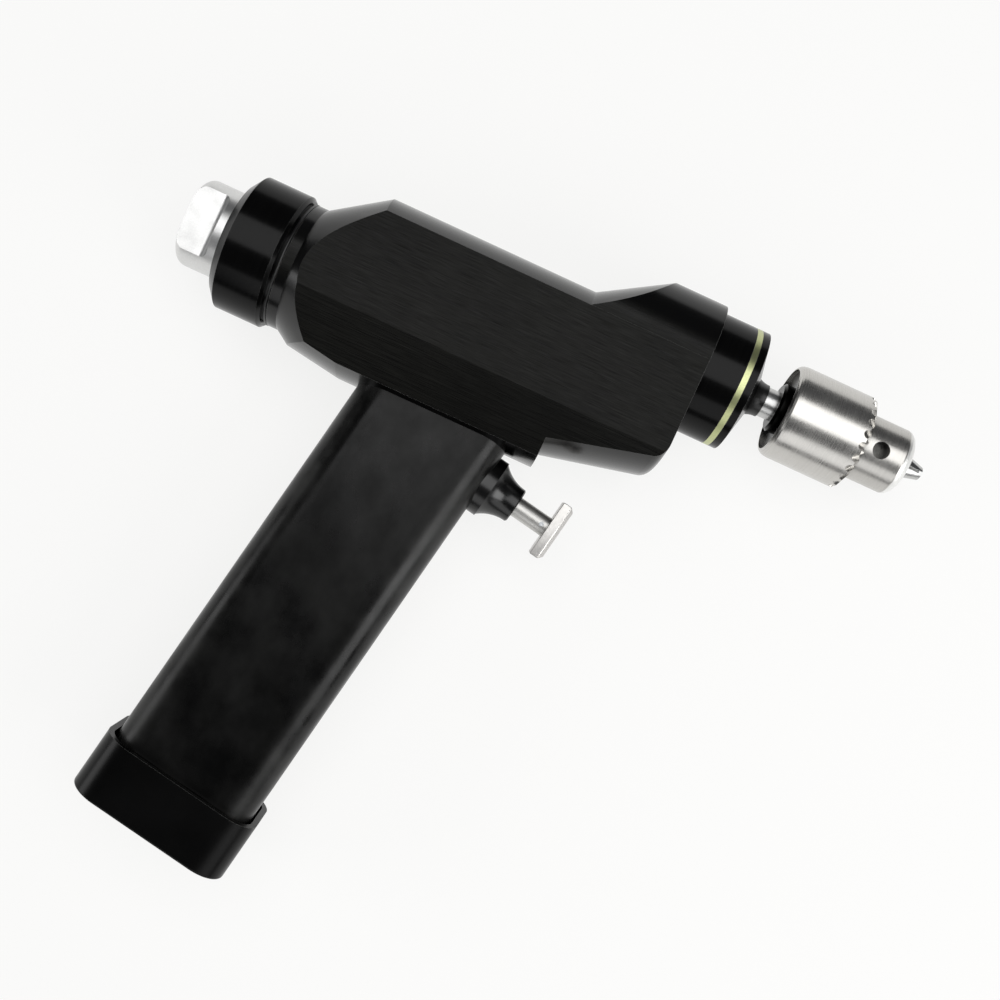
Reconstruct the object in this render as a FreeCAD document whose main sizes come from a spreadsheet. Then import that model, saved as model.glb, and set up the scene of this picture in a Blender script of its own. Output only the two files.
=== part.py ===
"""Surgical power drill with a keyed chuck, lying on its left side.

Frame, in millimetres: the origin is on the spindle axis at the front face of the housing.
+X runs along the spindle to the chuck, +Y to the top of the barrel, and +Z up, away from the
surface that the drill lies on. The grip hangs towards -Y and is swept back.
"""
import FreeCAD, Part
import math
import os
import re

import Sketcher

Vector = FreeCAD.Vector
X_AXIS = Vector(1, 0, 0)
Y_AXIS = Vector(0, 1, 0)
Z_AXIS = Vector(0, 0, 1)

# Distance under which two stations or points count as the same.
TINY = 0.01
# Longer than any side of the drill: the reach of blocks that cut a whole piece.
BEYOND = 200.0
# Root depth of a gear tooth below the pitch circle, in modules.
DEDENDUM = 1.25
# A concave flare falls by this share of its height, over this share of its length, at its middle.
FLARE_REACH = 0.42
FLARE_DROP = 0.70
# Straight steps that stand for one rounded edge of a turned piece.
ROUNDING_STEPS = 5

# Driving dimensions in millimetres and degrees: name, value.
SIZES = {
    # gaps and the overrun of cutting tools
    "running_gap": 0.04,
    "seat_gap": 0.1,
    "face_gap": 0.3,
    "thread_gap": 0.05,
    "socket_gap": 0.05,
    "flange_fit": 0.02,
    "overrun": 1.0,
    # barrel casing
    "axis_offset": 22.5,
    "side_half": 21.25,
    "crown_height": 30.8,
    "shoulder_height": 23.8,
    "turning_radius": 34.0,
    "floor_depth": 25.4,
    "floor_radius": 52.4,
    "facet_top": 5.8,
    "facet_inset": 2.95,
    "casing_length": 120.8,
    "cone_length": 21.6,
    "neck_radius": 19.65,
    "neck_land": 3.2,
    "neck_thread_radius": 18.9,
    "neck_thread_length": 12.5,
    "ramp_start": 37.8,
    "ramp_angle": 31.3,
    "saddle_front": 33.6,
    "chin_depth": 21.2,
    "chin_angle": 13.2,
    "chin_radius": 40.0,
    "chin_corner": 4.0,
    "heel_start": 98.0,
    "heel_angle": 8.5,
    # motor bay and gear chamber
    "motor_bore": 17.7,
    "motor_front": 30.0,
    "chamber_radius": 17.2,
    "chamber_depth": 18.8,
    "pinion_room": 9.6,
    "pinion_room_front": 8.2,
    "shaft_room": 7.0,
    "lead_hole_radius": 4.0,
    # grip screws
    "screw_spread": 14.0,
    "screw_radius": 2.0,
    "screw_length": 7.6,
    "screw_head_radius": 3.5,
    "screw_head_height": 2.2,
    "screw_socket_radius": 1.5,
    "screw_socket_depth": 1.2,
    "screw_room": 0.05,
    # gears
    "gear_module": 1.0,
    "pinion_teeth": 15,
    "gear_teeth": 30,
    "gear_pressure_angle": 20.0,
    "gear_backlash": 0.16,
    "gear_width": 8.0,
    "gear_rear": 17.6,
    "pinion_extra": 0.7,
    "gear_bore": 6.0,
    # spindle and its bearings
    "rear_journal": 4.0,
    "rear_bearing_radius": 8.0,
    "rear_bearing_width": 5.0,
    "front_journal": 5.0,
    "front_bearing_radius": 13.0,
    "front_bearing_width": 8.0,
    "front_bearing_rear": 3.0,
    "spindle_radius": 4.7,
    "spindle_thread": 4.0,
    "spindle_thread_length": 14.8,
    "spindle_shoulder": 7.5,
    "spindle_step": 1.2,
    "journal_extra": 0.4,
    "bearing_race": 1.6,
    "shield_recess": 0.5,
    "circlip_width": 1.1,
    "circlip_bore": 10.4,
    # nose
    "collar_radius": 19.15,
    "collar_length": 11.0,
    "collar_spigot": 8.0,
    "collar_bore": 10.0,
    "band_width": 1.8,
    "band_seat": 16.5,
    "band_seat_length": 3.4,
    "nose_cap_land": 2.4,
    "nose_cap_cone": 3.0,
    "nose_cap_mouth": 8.0,
    "seal_radius": 6.4,
    "seal_tip_radius": 5.15,
    "seal_lip": 2.5,
    "seal_lip_width": 1.2,
    "seal_length": 4.1,
    # keyed chuck
    "chuck_gap": 26.2,
    "chuck_boss_radius": 7.8,
    "chuck_boss_length": 3.4,
    "chuck_boss_edge": 0.8,
    "chuck_flange_radius": 13.2,
    "chuck_flange_width": 3.4,
    "chuck_core_radius": 11.9,
    "nut_start": 20.2,
    "nut_width": 5.2,
    "nut_groove_radius": 8.8,
    "nut_radius": 12.55,
    "nut_split": 0.4,
    "chuck_nose_radius": 10.45,
    "chuck_nose_start": 25.4,
    "chuck_nose_length": 14.8,
    "chuck_tip_length": 3.7,
    "chuck_mouth_radius": 4.2,
    "chuck_bore": 3.3,
    "chuck_bore_depth": 22.5,
    "key_hole_radius": 2.65,
    "key_hole_from_rear": 32.8,
    "key_hole_depth": 5.0,
    "sleeve_radius": 15.0,
    "sleeve_start": 1.8,
    "sleeve_rear_bevel": 3.0,
    "sleeve_rear_rim": 13.4,
    "sleeve_length": 26.3,
    "sleeve_front_bevel": 1.7,
    "sleeve_front_radius": 11.6,
    "sleeve_teeth": 24,
    "sleeve_notch_radius": 1.35,
    "sleeve_notch_lift": 0.5,
    "jaw_radius": 2.8,
    "jaw_angle": 17.0,
    "jaw_apex": 46.3,
    "jaw_tip": 49.3,
    "jaw_rear": 19.3,
    "jaw_clearance": 0.06,
    "jaw_relief": 0.65,
    "jaw_open": 6.0,
    "jaw_end_gap": 1.5,
    "bit_radius": 1.25,
    # rear cap and knob
    "cap_radius": 21.25,
    "cap_front_gap": 5.0,
    "cap_length": 17.8,
    "cap_front_bevel": 1.0,
    "cap_front_step": 1.0,
    "cap_rear_bevel": 2.8,
    "cap_rear_step": 3.6,
    "cap_floor": 4.0,
    "cap_inner_radius": 15.0,
    "oring_radius": 0.45,
    "knob_radius": 13.75,
    "knob_length": 14.0,
    "knob_flat": 9.5,
    "knob_flat_length": 10.8,
    "knob_edge": 3.2,
    "knob_run_out": 2.2,
    "knob_gap": 0.25,
    "knob_screw_hole": 1.6,
    "knob_screw_radius": 1.5,
    "knob_screw_head": 2.8,
    "knob_screw_head_height": 1.2,
    "knob_shaft_radius": 5.0,
    "latch_length": 24.0,
    "latch_width": 8.0,
    "latch_thickness": 2.0,
    # motor
    "motor_radius": 17.6,
    "motor_length": 62.0,
    "motor_wall": 1.4,
    "motor_shaft_radius": 2.5,
    "motor_bell_length": 8.0,
    "motor_bell_mouth": 3.0,
    "motor_bell_edge": 1.0,
    "motor_can_mouth": 4.0,
    "motor_bearing_radius": 5.0,
    "motor_bearing_width": 3.0,
    "spacer_wall": 1.8,
    "rotor_radius": 11.5,
    "rotor_length": 38.0,
    "rotor_tail": 3.0,
    "winding_start": 10.0,
    "commutator_start": 4.0,
    "commutator_radius": 6.3,
    "magnet_gap": 0.5,
    "magnet_angle": 130.0,
    # grip
    "grip_sweep": 10.0,
    "grip_station": 66.8,
    "grip_width": 47.8,
    "grip_thickness": 30.0,
    "grip_corner": 9.5,
    "grip_length": 136.6,
    "grip_wall": 2.4,
    "grip_tenon": 4.0,
    "grip_roof": 3.0,
    "cap_rim_station": 129.4,
    "base_fit": 0.7,
    "base_corner": 9.5,
    "base_height": 18.8,
    "base_cup_depth": 8.0,
    "base_wall": 1.8,
    "base_edge": 0.8,
    "gasket_thickness": 0.4,
    "gasket_width": 2.0,
    # trigger
    "trigger_drop": 6.6,
    "guide_flange_radius": 9.45,
    "guide_flange_width": 3.0,
    "guide_tip_radius": 5.65,
    "guide_length": 9.0,
    "guide_spigot_radius": 6.0,
    "guide_nut_radius": 8.0,
    "guide_nut_width": 3.0,
    "guide_nut_room": 12.0,
    "guide_thread_extra": 0.8,
    "guide_edge": 0.4,
    "guide_root": 4.0,
    "rod_radius": 3.2,
    "rod_reach": 11.2,
    "rod_tail_radius": 1.6,
    "rod_tail_length": 8.0,
    "pin_radius": 0.75,
    "pin_setback": 1.9,
    "pin_inset": 0.25,
    "clip_width": 1.0,
    "clip_radius": 5.0,
    "magnet_width": 3.8,
    "magnet_radius": 4.6,
    "bar_length": 18.6,
    "bar_thickness": 4.1,
    "bar_depth": 10.0,
    "bar_bevel": 1.3,
    "spring_radius": 2.5,
    "spring_wire": 0.35,
    "spring_turns": 7,
    "spring_room": 14.0,
    "switch_width": 6.0,
    "switch_back_gap": 4.2,
    "switch_height": 9.5,
    "switch_low": 6.5,
    "block_gap": 1.0,
    "plunger_gap": 0.4,
    # control board
    "board_length": 34.0,
    "board_thickness": 1.6,
    "board_drop": 11.5,
    "board_gap": 1.2,
    "chip_offset": 7.0,
    "driver_side": 8.0,
    "driver_height": 1.4,
    "coil_side": 5.0,
    "coil_height": 2.2,
    # battery
    "cell_radius": 9.0,
    "cell_length": 50.0,
    "battery_top": 27.0,
    "battery_side_gap": 0.35,
    "cell_wall": 0.4,
    "cell_space": 0.6,
    "button_radius": 2.8,
    "button_height": 1.2,
    "holder_rail": 8.0,
    "plate_inset": 2.0,
    "plate_thickness": 1.0,
    "stud_radius": 2.2,
    "stud_height": 1.1,
    "contact_gap": 1.5,
    "contact_block_height": 2.4,
}

ALIAS = re.compile(r"\b(" + "|".join(sorted(SIZES, key=len, reverse=True)) + r")\b")

doc = FreeCAD.newDocument("surgical_drill")
sheet = doc.addObject("Spreadsheet::Sheet", "Sizes")
subparts = []


def fill_sheet():
    """Write each driving dimension into a cell of its own and name the cell."""
    for row, (alias, value) in enumerate(SIZES.items(), start=1):
        sheet.set("A%d" % row, alias)
        sheet.set("B%d" % row, str(value))
        sheet.setAlias("B%d" % row, alias)
    doc.recompute()


def size(alias):
    """Read one dimension back from the sheet."""
    return float(sheet.get(alias))


def formula(text):
    """Turn names of dimensions in a formula into references to the sheet."""
    return ALIAS.sub(r"Sizes.\1", text)


def bind(thing, path, text):
    """Tie one property to a formula of the sheet's dimensions."""
    thing.setExpression(path, formula(text))


def place(thing, x="0", y="0", z="0", turn=None):
    """Set a sub-part's place by formulas, with an optional turn about +Z in degrees."""
    bind(thing, "Placement.Base.x", x)
    bind(thing, "Placement.Base.y", y)
    bind(thing, "Placement.Base.z", z)
    if turn is not None:
        thing.Placement = FreeCAD.Placement(Vector(), FreeCAD.Rotation(Z_AXIS, 1))
        bind(thing, "Placement.Rotation.Angle", turn)


def keep(thing, label):
    """List an object as a finished sub-part, under its own label."""
    thing.Label = label
    subparts.append(thing)
    return thing


def plane_of(body, role):
    """Find one of the origin planes of a body."""
    return [item for item in body.Origin.OriginFeatures if item.Role == role][0]


def outline(sketch, points):
    """Draw a closed outline whose corners are formulas of the dimensions."""
    count = len(points)
    for number in range(count):
        start = 2 * math.pi * number / count
        end = 2 * math.pi * (number + 1) / count
        first = Vector(math.cos(start), math.sin(start), 0)
        second = Vector(math.cos(end), math.sin(end), 0)
        sketch.addGeometry(Part.LineSegment(first, second), False)
    for number in range(count):
        sketch.addConstraint(Sketcher.Constraint("Coincident", number, 2, (number + 1) % count, 1))
    for number, (across, up) in enumerate(points):
        fixed = sketch.addConstraint(Sketcher.Constraint("DistanceX", -1, 1, number, 1, 1.0))
        bind(sketch, "Constraints[%d]" % fixed, across)
        fixed = sketch.addConstraint(Sketcher.Constraint("DistanceY", -1, 1, number, 1, 1.0))
        bind(sketch, "Constraints[%d]" % fixed, up)


def new_body(name):
    return doc.addObject("PartDesign::Body", name)


def new_sketch(body, name, role="XY_Plane"):
    sketch = body.newObject("Sketcher::SketchObject", name)
    sketch.AttachmentSupport = [(plane_of(body, role), "")]
    sketch.MapMode = "FlatFace"
    return sketch


def turned(name, points):
    """A turned piece: an outline of (along the axis, radius) spun about the body's X axis."""
    body = new_body(name)
    sketch = new_sketch(body, name + "_profile")
    outline(sketch, points)
    spin = body.newObject("PartDesign::Revolution", name + "_turning")
    spin.Profile = sketch
    spin.ReferenceAxis = (sketch, ["H_Axis"])
    spin.Angle = 360
    return body


def ring(name, start, end, outer, inner):
    """A plain turned ring or bush."""
    return turned(name, [(start, inner), (start, outer), (end, outer), (end, inner)])


def tool_cylinder(name, radius, start, end, y="0", z="0"):
    """A cylinder along X between two stations, used to bore or to add round stock."""
    tool = doc.addObject("Part::Cylinder", name)
    bind(tool, "Radius", radius)
    bind(tool, "Height", "(%s) - (%s)" % (end, start))
    tool.Placement = FreeCAD.Placement(Vector(), FreeCAD.Rotation(Y_AXIS, 90))
    bind(tool, "Placement.Base.x", start)
    bind(tool, "Placement.Base.y", y)
    bind(tool, "Placement.Base.z", z)
    return tool


def tool_box(name, low, high):
    """A box between two corners, each a triple of formulas."""
    tool = doc.addObject("Part::Box", name)
    for path, low_edge, high_edge in zip(("Length", "Width", "Height"), low, high):
        bind(tool, path, "(%s) - (%s)" % (high_edge, low_edge))
    for path, low_edge in zip("xyz", low):
        bind(tool, "Placement.Base." + path, low_edge)
    return tool


def boolean(kind, name, items):
    """Join pieces by Part::MultiFuse or Part::MultiCommon."""
    result = doc.addObject("Part::Multi" + kind, name)
    result.Shapes = items
    return result


def cut(name, base, tool):
    result = doc.addObject("Part::Cut", name)
    result.Base = base
    result.Tool = tool
    return result


def shaped(name, shape, turn=0.0, x=0.0, y=0.0):
    """A piece whose shape is worked out here from the sheet's dimensions."""
    piece = doc.addObject("Part::Feature", name)
    piece.Shape = shape
    where = FreeCAD.Placement(Vector(x, y, 0), FreeCAD.Rotation(Z_AXIS, turn))
    piece.Placement = where.multiply(shape.Placement)
    return piece


def face_of(points):
    """A face from a closed list of corner points."""
    return Part.Face(Part.makePolygon(points + [points[0]]))


def crown_face(station, centre, radius, half, top_side):
    """A face across the barrel below (or above) a round crown, at one station."""
    rise = math.sqrt(radius ** 2 - half ** 2)
    sign = 1 if top_side else -1
    far = centre - sign * radius
    left = Vector(station, centre + sign * rise, -half)
    right = Vector(station, centre + sign * rise, half)
    crest = Vector(station, centre + sign * radius, 0)
    arc = Part.Arc(left, crest, right).toShape()
    lines = [
        Part.makeLine(right, Vector(station, far, half)),
        Part.makeLine(Vector(station, far, half), Vector(station, far, -half)),
        Part.makeLine(Vector(station, far, -half), left),
    ]
    return Part.Face(Part.Wire([arc] + lines))


def round_box(width, thickness, corner, bottom, top):
    """An upright block along Y with rounded corners, centred on X and Z."""
    block = Part.makeBox(
        width, top - bottom, thickness, Vector(-width / 2, bottom, -thickness / 2))
    upright = [edge for edge in block.Edges if edge.BoundBox.YLength > top - bottom - TINY]
    return block.makeFillet(corner, upright)


def involute_gear(module, teeth, width, backlash, bore, phase, pressure):
    """A spur gear along X from x = 0, with a tooth centred at the angle phase from +Y."""
    pitch = module * teeth / 2
    base = pitch * math.cos(math.radians(pressure))
    outer = pitch + module
    root = pitch - DEDENDUM * module
    start = max(base, root)
    half_tooth = math.pi / (2 * teeth) - backlash / (4 * pitch)
    involute_at_pitch = math.tan(math.radians(pressure)) - math.radians(pressure)
    radii = [start, (start + pitch) / 2, pitch, (pitch + outer) / 2, outer]

    def half_angle(radius):
        slope = math.acos(min(1.0, base / radius))
        return half_tooth + involute_at_pitch - (math.tan(slope) - slope)

    corners = []
    for tooth in range(teeth):
        middle = math.radians(phase) + 2 * math.pi * tooth / teeth
        flank = [(radius, half_angle(radius)) for radius in radii]
        corners.append((root, middle - flank[0][1]))
        corners += [(radius, middle - angle) for radius, angle in flank]
        corners += [(radius, middle + angle) for radius, angle in reversed(flank)]
        corners.append((root, middle + flank[0][1]))
    points = []
    for radius, angle in corners:
        point = Vector(0, radius * math.cos(angle), radius * math.sin(angle))
        if not points or (point - points[-1]).Length > TINY:
            points.append(point)
    blank = face_of(points).extrude(X_AXIS * width)
    return blank.cut(Part.makeCylinder(bore, width, Vector(), X_AXIS))


MOTOR_Y = "-axis_offset"


def arc_radius(half, sag):
    """Radius of an arc that rises by sag over a chord of twice half."""
    return (half ** 2 + sag ** 2) / (2 * sag)


def lies_at(edge, station):
    """Whether an edge lies in the plane across X at a station."""
    return abs(edge.BoundBox.XMin - station) < TINY and abs(edge.BoundBox.XMax - station) < TINY


def casing_section():
    """Face across the barrel: round crown, upright flats, lower facets and rounded floor."""
    half = size("side_half")
    axis = -size("axis_offset")
    low_half = half - size("facet_inset")
    floor_centre = axis - size("floor_depth") + size("floor_radius")
    low_y = floor_centre - math.sqrt(size("floor_radius") ** 2 - low_half ** 2)
    flank_y = axis - size("facet_top")
    shoulder_y = axis + size("shoulder_height")
    floor = Part.Arc(
        Vector(0, low_y, low_half), Vector(0, axis - size("floor_depth"), 0),
        Vector(0, low_y, -low_half)).toShape()
    crown = Part.Arc(
        Vector(0, shoulder_y, -half), Vector(0, axis + size("crown_height"), 0),
        Vector(0, shoulder_y, half)).toShape()
    left = Part.makePolygon([
        Vector(0, low_y, -low_half), Vector(0, flank_y, -half), Vector(0, shoulder_y, -half)])
    right = Part.makePolygon([
        Vector(0, shoulder_y, half), Vector(0, flank_y, half), Vector(0, low_y, low_half)])
    return Part.Face(Part.Wire(left.Edges + [crown] + right.Edges + [floor]))


def barrel_between(start, end):
    """The barrel between two stations, with one section all along."""
    return casing_section().translated(X_AXIS * start).extrude(X_AXIS * (end - start))


def milled_barrel():
    """Barrel stock with the saddle's chin in front and the raised heel behind."""
    axis = -size("axis_offset")
    half = size("side_half")
    saddle = -size("saddle_front")
    heel = -size("heel_start")
    rear = -size("casing_length") - size("neck_land") - size("neck_thread_length")
    chin = crown_face(
        saddle, axis - size("chin_depth") + size("chin_radius"), size("chin_radius"), half, False)
    chin_rise = -saddle * math.tan(math.radians(size("chin_angle")))
    front = barrel_between(saddle, 0).common(chin.extrude(Vector(-saddle, chin_rise, 0)))
    lip = [edge for edge in front.Edges
           if lies_at(edge, 0) and edge.BoundBox.YMax < axis and edge.BoundBox.ZLength > half]
    front = front.makeFillet(size("chin_corner"), lip)
    floor = crown_face(
        heel, axis - size("floor_depth") + size("floor_radius"), size("floor_radius"), half, False)
    heel_rise = (heel - rear) * math.tan(math.radians(size("heel_angle")))
    back = barrel_between(rear, heel).common(floor.extrude(Vector(rear - heel, heel_rise, 0)))
    return front.fuse([barrel_between(heel, saddle), back])


def nose_block():
    """Raised block round the spindle, cut by the ramp that climbs from the crown."""
    half = size("side_half")
    axis = -size("axis_offset")
    run = size("ramp_start")
    crown = arc_radius(half, size("crown_height") - size("shoulder_height"))
    ramp = crown_face(-run, axis + size("crown_height") - crown, crown, half, True)
    rise = run * math.tan(math.radians(size("ramp_angle")))
    arc = Part.Arc(
        Vector(-run, 0, -half), Vector(-run, half, 0), Vector(-run, 0, half)).toShape()
    walls = Part.makePolygon([
        Vector(-run, 0, half), Vector(-run, axis, half),
        Vector(-run, axis, -half), Vector(-run, 0, -half)])
    block = Part.Face(Part.Wire([arc] + walls.Edges)).extrude(X_AXIS * run)
    return block.common(ramp.extrude(Vector(run, rise, 0)))


def build_housing():
    """Barrel casing: turned stock and rear cone, milled flats, raised nose block, bores."""
    turning = turned("casing_turning", [
        ("-casing_length - neck_land - neck_thread_length", "0"),
        ("-casing_length - neck_land - neck_thread_length", "neck_thread_radius"),
        ("-casing_length - neck_land", "neck_thread_radius"),
        ("-casing_length - neck_land", "neck_radius"),
        ("-casing_length", "neck_radius"),
        ("-casing_length + cone_length", "turning_radius"),
        ("0", "turning_radius"),
        ("0", "0"),
    ])
    place(turning, y=MOTOR_Y)
    barrel = boolean("Common", "casing_barrel", [turning, shaped("casing_milling", milled_barrel())])
    blank = boolean("Fuse", "casing_blank", [barrel, shaped("casing_nose_block", nose_block())])
    bores = [
        tool_cylinder(
            "bore_motor", "motor_bore",
            "-casing_length - neck_land - neck_thread_length - overrun", "-motor_front", MOTOR_Y),
        tool_cylinder(
            "bore_shaft", "shaft_room", "-motor_front - overrun", "-chamber_depth + overrun", MOTOR_Y),
        tool_cylinder("bore_pinion", "pinion_room", "-chamber_depth", "-pinion_room_front", MOTOR_Y),
        tool_cylinder("bore_chamber", "chamber_radius", "-chamber_depth", "overrun"),
        tool_cylinder(
            "bore_rear_bearing", "rear_bearing_radius",
            "-chamber_depth - rear_bearing_width", "-chamber_depth + overrun"),
        shaped("grip_socket", grip_socket()),
        drilled_down("lead_hole", "lead_hole_radius", "-grip_station", "floor_depth"),
    ]
    for number, station in enumerate(SCREW_STATIONS):
        bores.append(drilled_down(
            "screw_shank_hole_%d" % number, "screw_radius + screw_room", station,
            "floor_depth + overrun"))
        bores.append(drilled_down(
            "screw_head_hole_%d" % number, "screw_head_radius + 2 * screw_room", station,
            "motor_bore + screw_head_height + 4 * screw_room"))
    cavities = boolean("Fuse", "casing_cavities", bores)
    keep(cut("casing_bored", blank, cavities), "housing")


SCREW_STATIONS = ("-grip_station - screw_spread", "-grip_station + screw_spread")


def grip_socket():
    """The shallow pocket under the barrel that takes the grip's head."""
    offset = size("axis_offset")
    depth = size("floor_depth")
    gap = size("socket_gap")
    tenon = round_box(
        size("grip_width") + 2 * gap, size("grip_thickness") + 2 * gap,
        size("grip_corner") + gap, -depth, depth)
    tenon.rotate(Vector(), Z_AXIS, -size("grip_sweep"))
    tenon.translate(Vector(-size("grip_station"), -offset - depth, 0))
    roof = -offset - depth + size("grip_tenon")
    below = Part.makeBox(
        BEYOND, BEYOND, BEYOND, Vector(-BEYOND, roof - BEYOND, -BEYOND / 2))
    return tenon.common(below)


def drilled_down(name, radius, station, depth):
    """A round hole from the motor axis down towards the grip."""
    hole = doc.addObject("Part::Cylinder", name)
    bind(hole, "Radius", radius)
    bind(hole, "Height", depth)
    hole.Placement = FreeCAD.Placement(Vector(), FreeCAD.Rotation(X_AXIS, 90))
    bind(hole, "Placement.Base.x", station)
    bind(hole, "Placement.Base.y", MOTOR_Y)
    return hole


def build_grip_screws():
    """Two cap screws that hold the grip to the casing."""
    screws = []
    top = -size("axis_offset") - size("motor_bore") - 3 * size("screw_room")
    for side in (-1, 1):
        centre = Vector(-size("grip_station") + side * size("screw_spread"), top, 0)
        head = Part.makeCylinder(size("screw_head_radius"), size("screw_head_height"), centre, -Y_AXIS)
        shank = Part.makeCylinder(size("screw_radius"), size("screw_length"), centre, -Y_AXIS)
        socket = Part.makeCylinder(
            size("screw_socket_radius"), size("screw_socket_depth"), centre, -Y_AXIS)
        screws.append(head.fuse(shank).cut(socket).removeSplitter())
    keep(shaped("grip_screws_set", Part.makeCompound(screws)), "grip_screws")


def build_gears():
    """Spur stage that raises the drive from the motor axis to the spindle axis."""
    module = size("gear_module")
    pressure = size("gear_pressure_angle")
    backlash = size("gear_backlash")
    pinion_teeth = int(size("pinion_teeth"))
    facing_pinion = 180
    gear = involute_gear(
        module, int(size("gear_teeth")), size("gear_width"), backlash, size("gear_bore"),
        facing_pinion, pressure)
    keep(shaped("spindle_gear", gear, x=-size("gear_rear")), "driven_gear")
    pinion = involute_gear(
        module, pinion_teeth, size("gear_width") + 2 * size("pinion_extra"), backlash,
        size("motor_shaft_radius"), 180 / pinion_teeth, pressure)
    keep(shaped("motor_pinion", pinion, x=-size("gear_rear") - size("pinion_extra"),
                y=-size("axis_offset")), "drive_pinion")


def build_spindle():
    """Output spindle with its journals, gear seat and chuck thread."""
    gear_front = "-gear_rear + gear_width"
    journal_rear = "-front_bearing_rear - journal_extra"
    journal_front = "front_bearing_width - front_bearing_rear + journal_extra"
    spindle = turned("output_spindle", [
        ("-chamber_depth - rear_bearing_width + face_gap", "0"),
        ("-chamber_depth - rear_bearing_width + face_gap", "rear_journal - running_gap"),
        ("-chamber_depth + 2 * face_gap", "rear_journal - running_gap"),
        ("-chamber_depth + 2 * face_gap", "rear_journal + spindle_step"),
        ("-gear_rear", "rear_journal + spindle_step"),
        ("-gear_rear", "gear_bore"),
        (gear_front, "gear_bore"),
        (gear_front, "spindle_shoulder"),
        (journal_rear, "spindle_shoulder"),
        (journal_rear, "front_journal - running_gap"),
        (journal_front, "front_journal - running_gap"),
        (journal_front, "spindle_radius"),
        ("chuck_gap", "spindle_radius"),
        ("chuck_gap", "spindle_thread"),
        ("chuck_gap + spindle_thread_length", "spindle_thread"),
        ("chuck_gap + spindle_thread_length", "0"),
    ])
    keep(spindle, "spindle")


def build_bearings():
    """Ball bearings of the spindle, each shown as its two races and a shield."""
    rear = ring(
        "spindle_bearing_rear", "-chamber_depth - rear_bearing_width", "-chamber_depth",
        "rear_bearing_radius", "rear_journal")
    keep(rear, "rear_spindle_bearing")
    start = "-front_bearing_rear"
    end = "front_bearing_width - front_bearing_rear"
    front = turned("spindle_bearing_front", [
        (start, "front_journal"),
        (start, "front_journal + bearing_race"),
        (start + " + shield_recess", "front_journal + bearing_race"),
        (start + " + shield_recess", "front_bearing_radius - bearing_race"),
        (start, "front_bearing_radius - bearing_race"),
        (start, "front_bearing_radius"),
        (end, "front_bearing_radius"),
        (end, "front_bearing_radius - bearing_race"),
        (end + " - shield_recess", "front_bearing_radius - bearing_race"),
        (end + " - shield_recess", "front_journal + bearing_race"),
        (end, "front_journal + bearing_race"),
        (end, "front_journal"),
    ])
    keep(front, "front_spindle_bearing")
    circlip = ring(
        "bearing_circlip", end + " + seat_gap", end + " + seat_gap + circlip_width",
        "front_bearing_radius", "circlip_bore")
    keep(circlip, "bearing_circlip")


NOSE_FRONT = "collar_length + band_seat_length"
NOSE_MOUTH = "collar_length + band_width + nose_cap_land + nose_cap_cone"


def build_nose():
    """Nose sleeve with its coloured band and screwed cap."""
    sleeve = turned("nose_collar_turning", [
        ("-collar_spigot", "collar_bore"),
        ("-collar_spigot", "chamber_radius - running_gap"),
        ("0", "chamber_radius - running_gap"),
        ("0", "collar_radius"),
        ("collar_length", "collar_radius"),
        ("collar_length", "band_seat"),
        (NOSE_FRONT, "band_seat"),
        (NOSE_FRONT, "front_bearing_radius"),
        ("-front_bearing_rear", "front_bearing_radius"),
        ("-front_bearing_rear", "collar_bore"),
    ])
    keep(sleeve, "nose_sleeve")
    band_front = "collar_length + band_width"
    band = ring("nose_band", "collar_length", band_front, "collar_radius", "band_seat")
    keep(band, "ring_band")
    cap = turned("nose_cap_turning", [
        (band_front, "band_seat"),
        (band_front, "collar_radius"),
        (band_front + " + nose_cap_land", "collar_radius"),
        (NOSE_MOUTH, "nose_cap_mouth"),
        (NOSE_MOUTH, "seal_radius"),
        (NOSE_FRONT, "seal_radius"),
        (NOSE_FRONT, "band_seat"),
    ])
    keep(cap, "nose_cap")


def flare(start, end, high, low):
    """Concave flare along X that falls from a high radius to a low one."""
    middle = Vector(start + (end - start) * FLARE_REACH, high - (high - low) * FLARE_DROP, 0)
    return Part.Arc(Vector(start, high, 0), middle, Vector(end, low, 0)).toShape()


def build_seal():
    """Rubber seal round the spindle: a lip held in the cap and a concave snout."""
    front = size("collar_length") + size("band_seat_length")
    mouth = (size("collar_length") + size("band_width") + size("nose_cap_land")
             + size("nose_cap_cone"))
    tip = mouth + size("seal_length")
    radius = size("seal_radius")
    bore = size("spindle_radius") + size("running_gap")
    lip = radius + size("seal_lip")
    back = front - size("seal_lip_width")
    snout = flare(mouth, tip, radius, size("seal_tip_radius"))
    walls = Part.makePolygon([
        Vector(tip, size("seal_tip_radius"), 0), Vector(tip, bore, 0), Vector(back, bore, 0),
        Vector(back, lip, 0), Vector(front, lip, 0), Vector(front, radius, 0),
        Vector(mouth, radius, 0)])
    profile = Part.Face(Part.Wire([snout] + walls.Edges))
    keep(shaped("shaft_seal_moulding", profile.revolve(Vector(), X_AXIS, 360)), "spindle_seal")


JAW_ANGLES = (30, 150, 270)
KEY_ANGLES = (90, 210, 330)


def jaw_axis(angle):
    """Start point on the spindle axis and rearward direction of one jaw."""
    tilt = math.radians(size("jaw_angle"))
    out = outward(angle)
    apex = Vector(size("chuck_gap") + size("jaw_apex"), 0, 0)
    rearward = X_AXIS * -math.cos(tilt) + out * math.sin(tilt)
    return apex, rearward, out


def outward(angle):
    """Unit direction away from the spindle, at an angle from +Y towards +Z."""
    return Vector(0, math.cos(math.radians(angle)), math.sin(math.radians(angle)))


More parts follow.
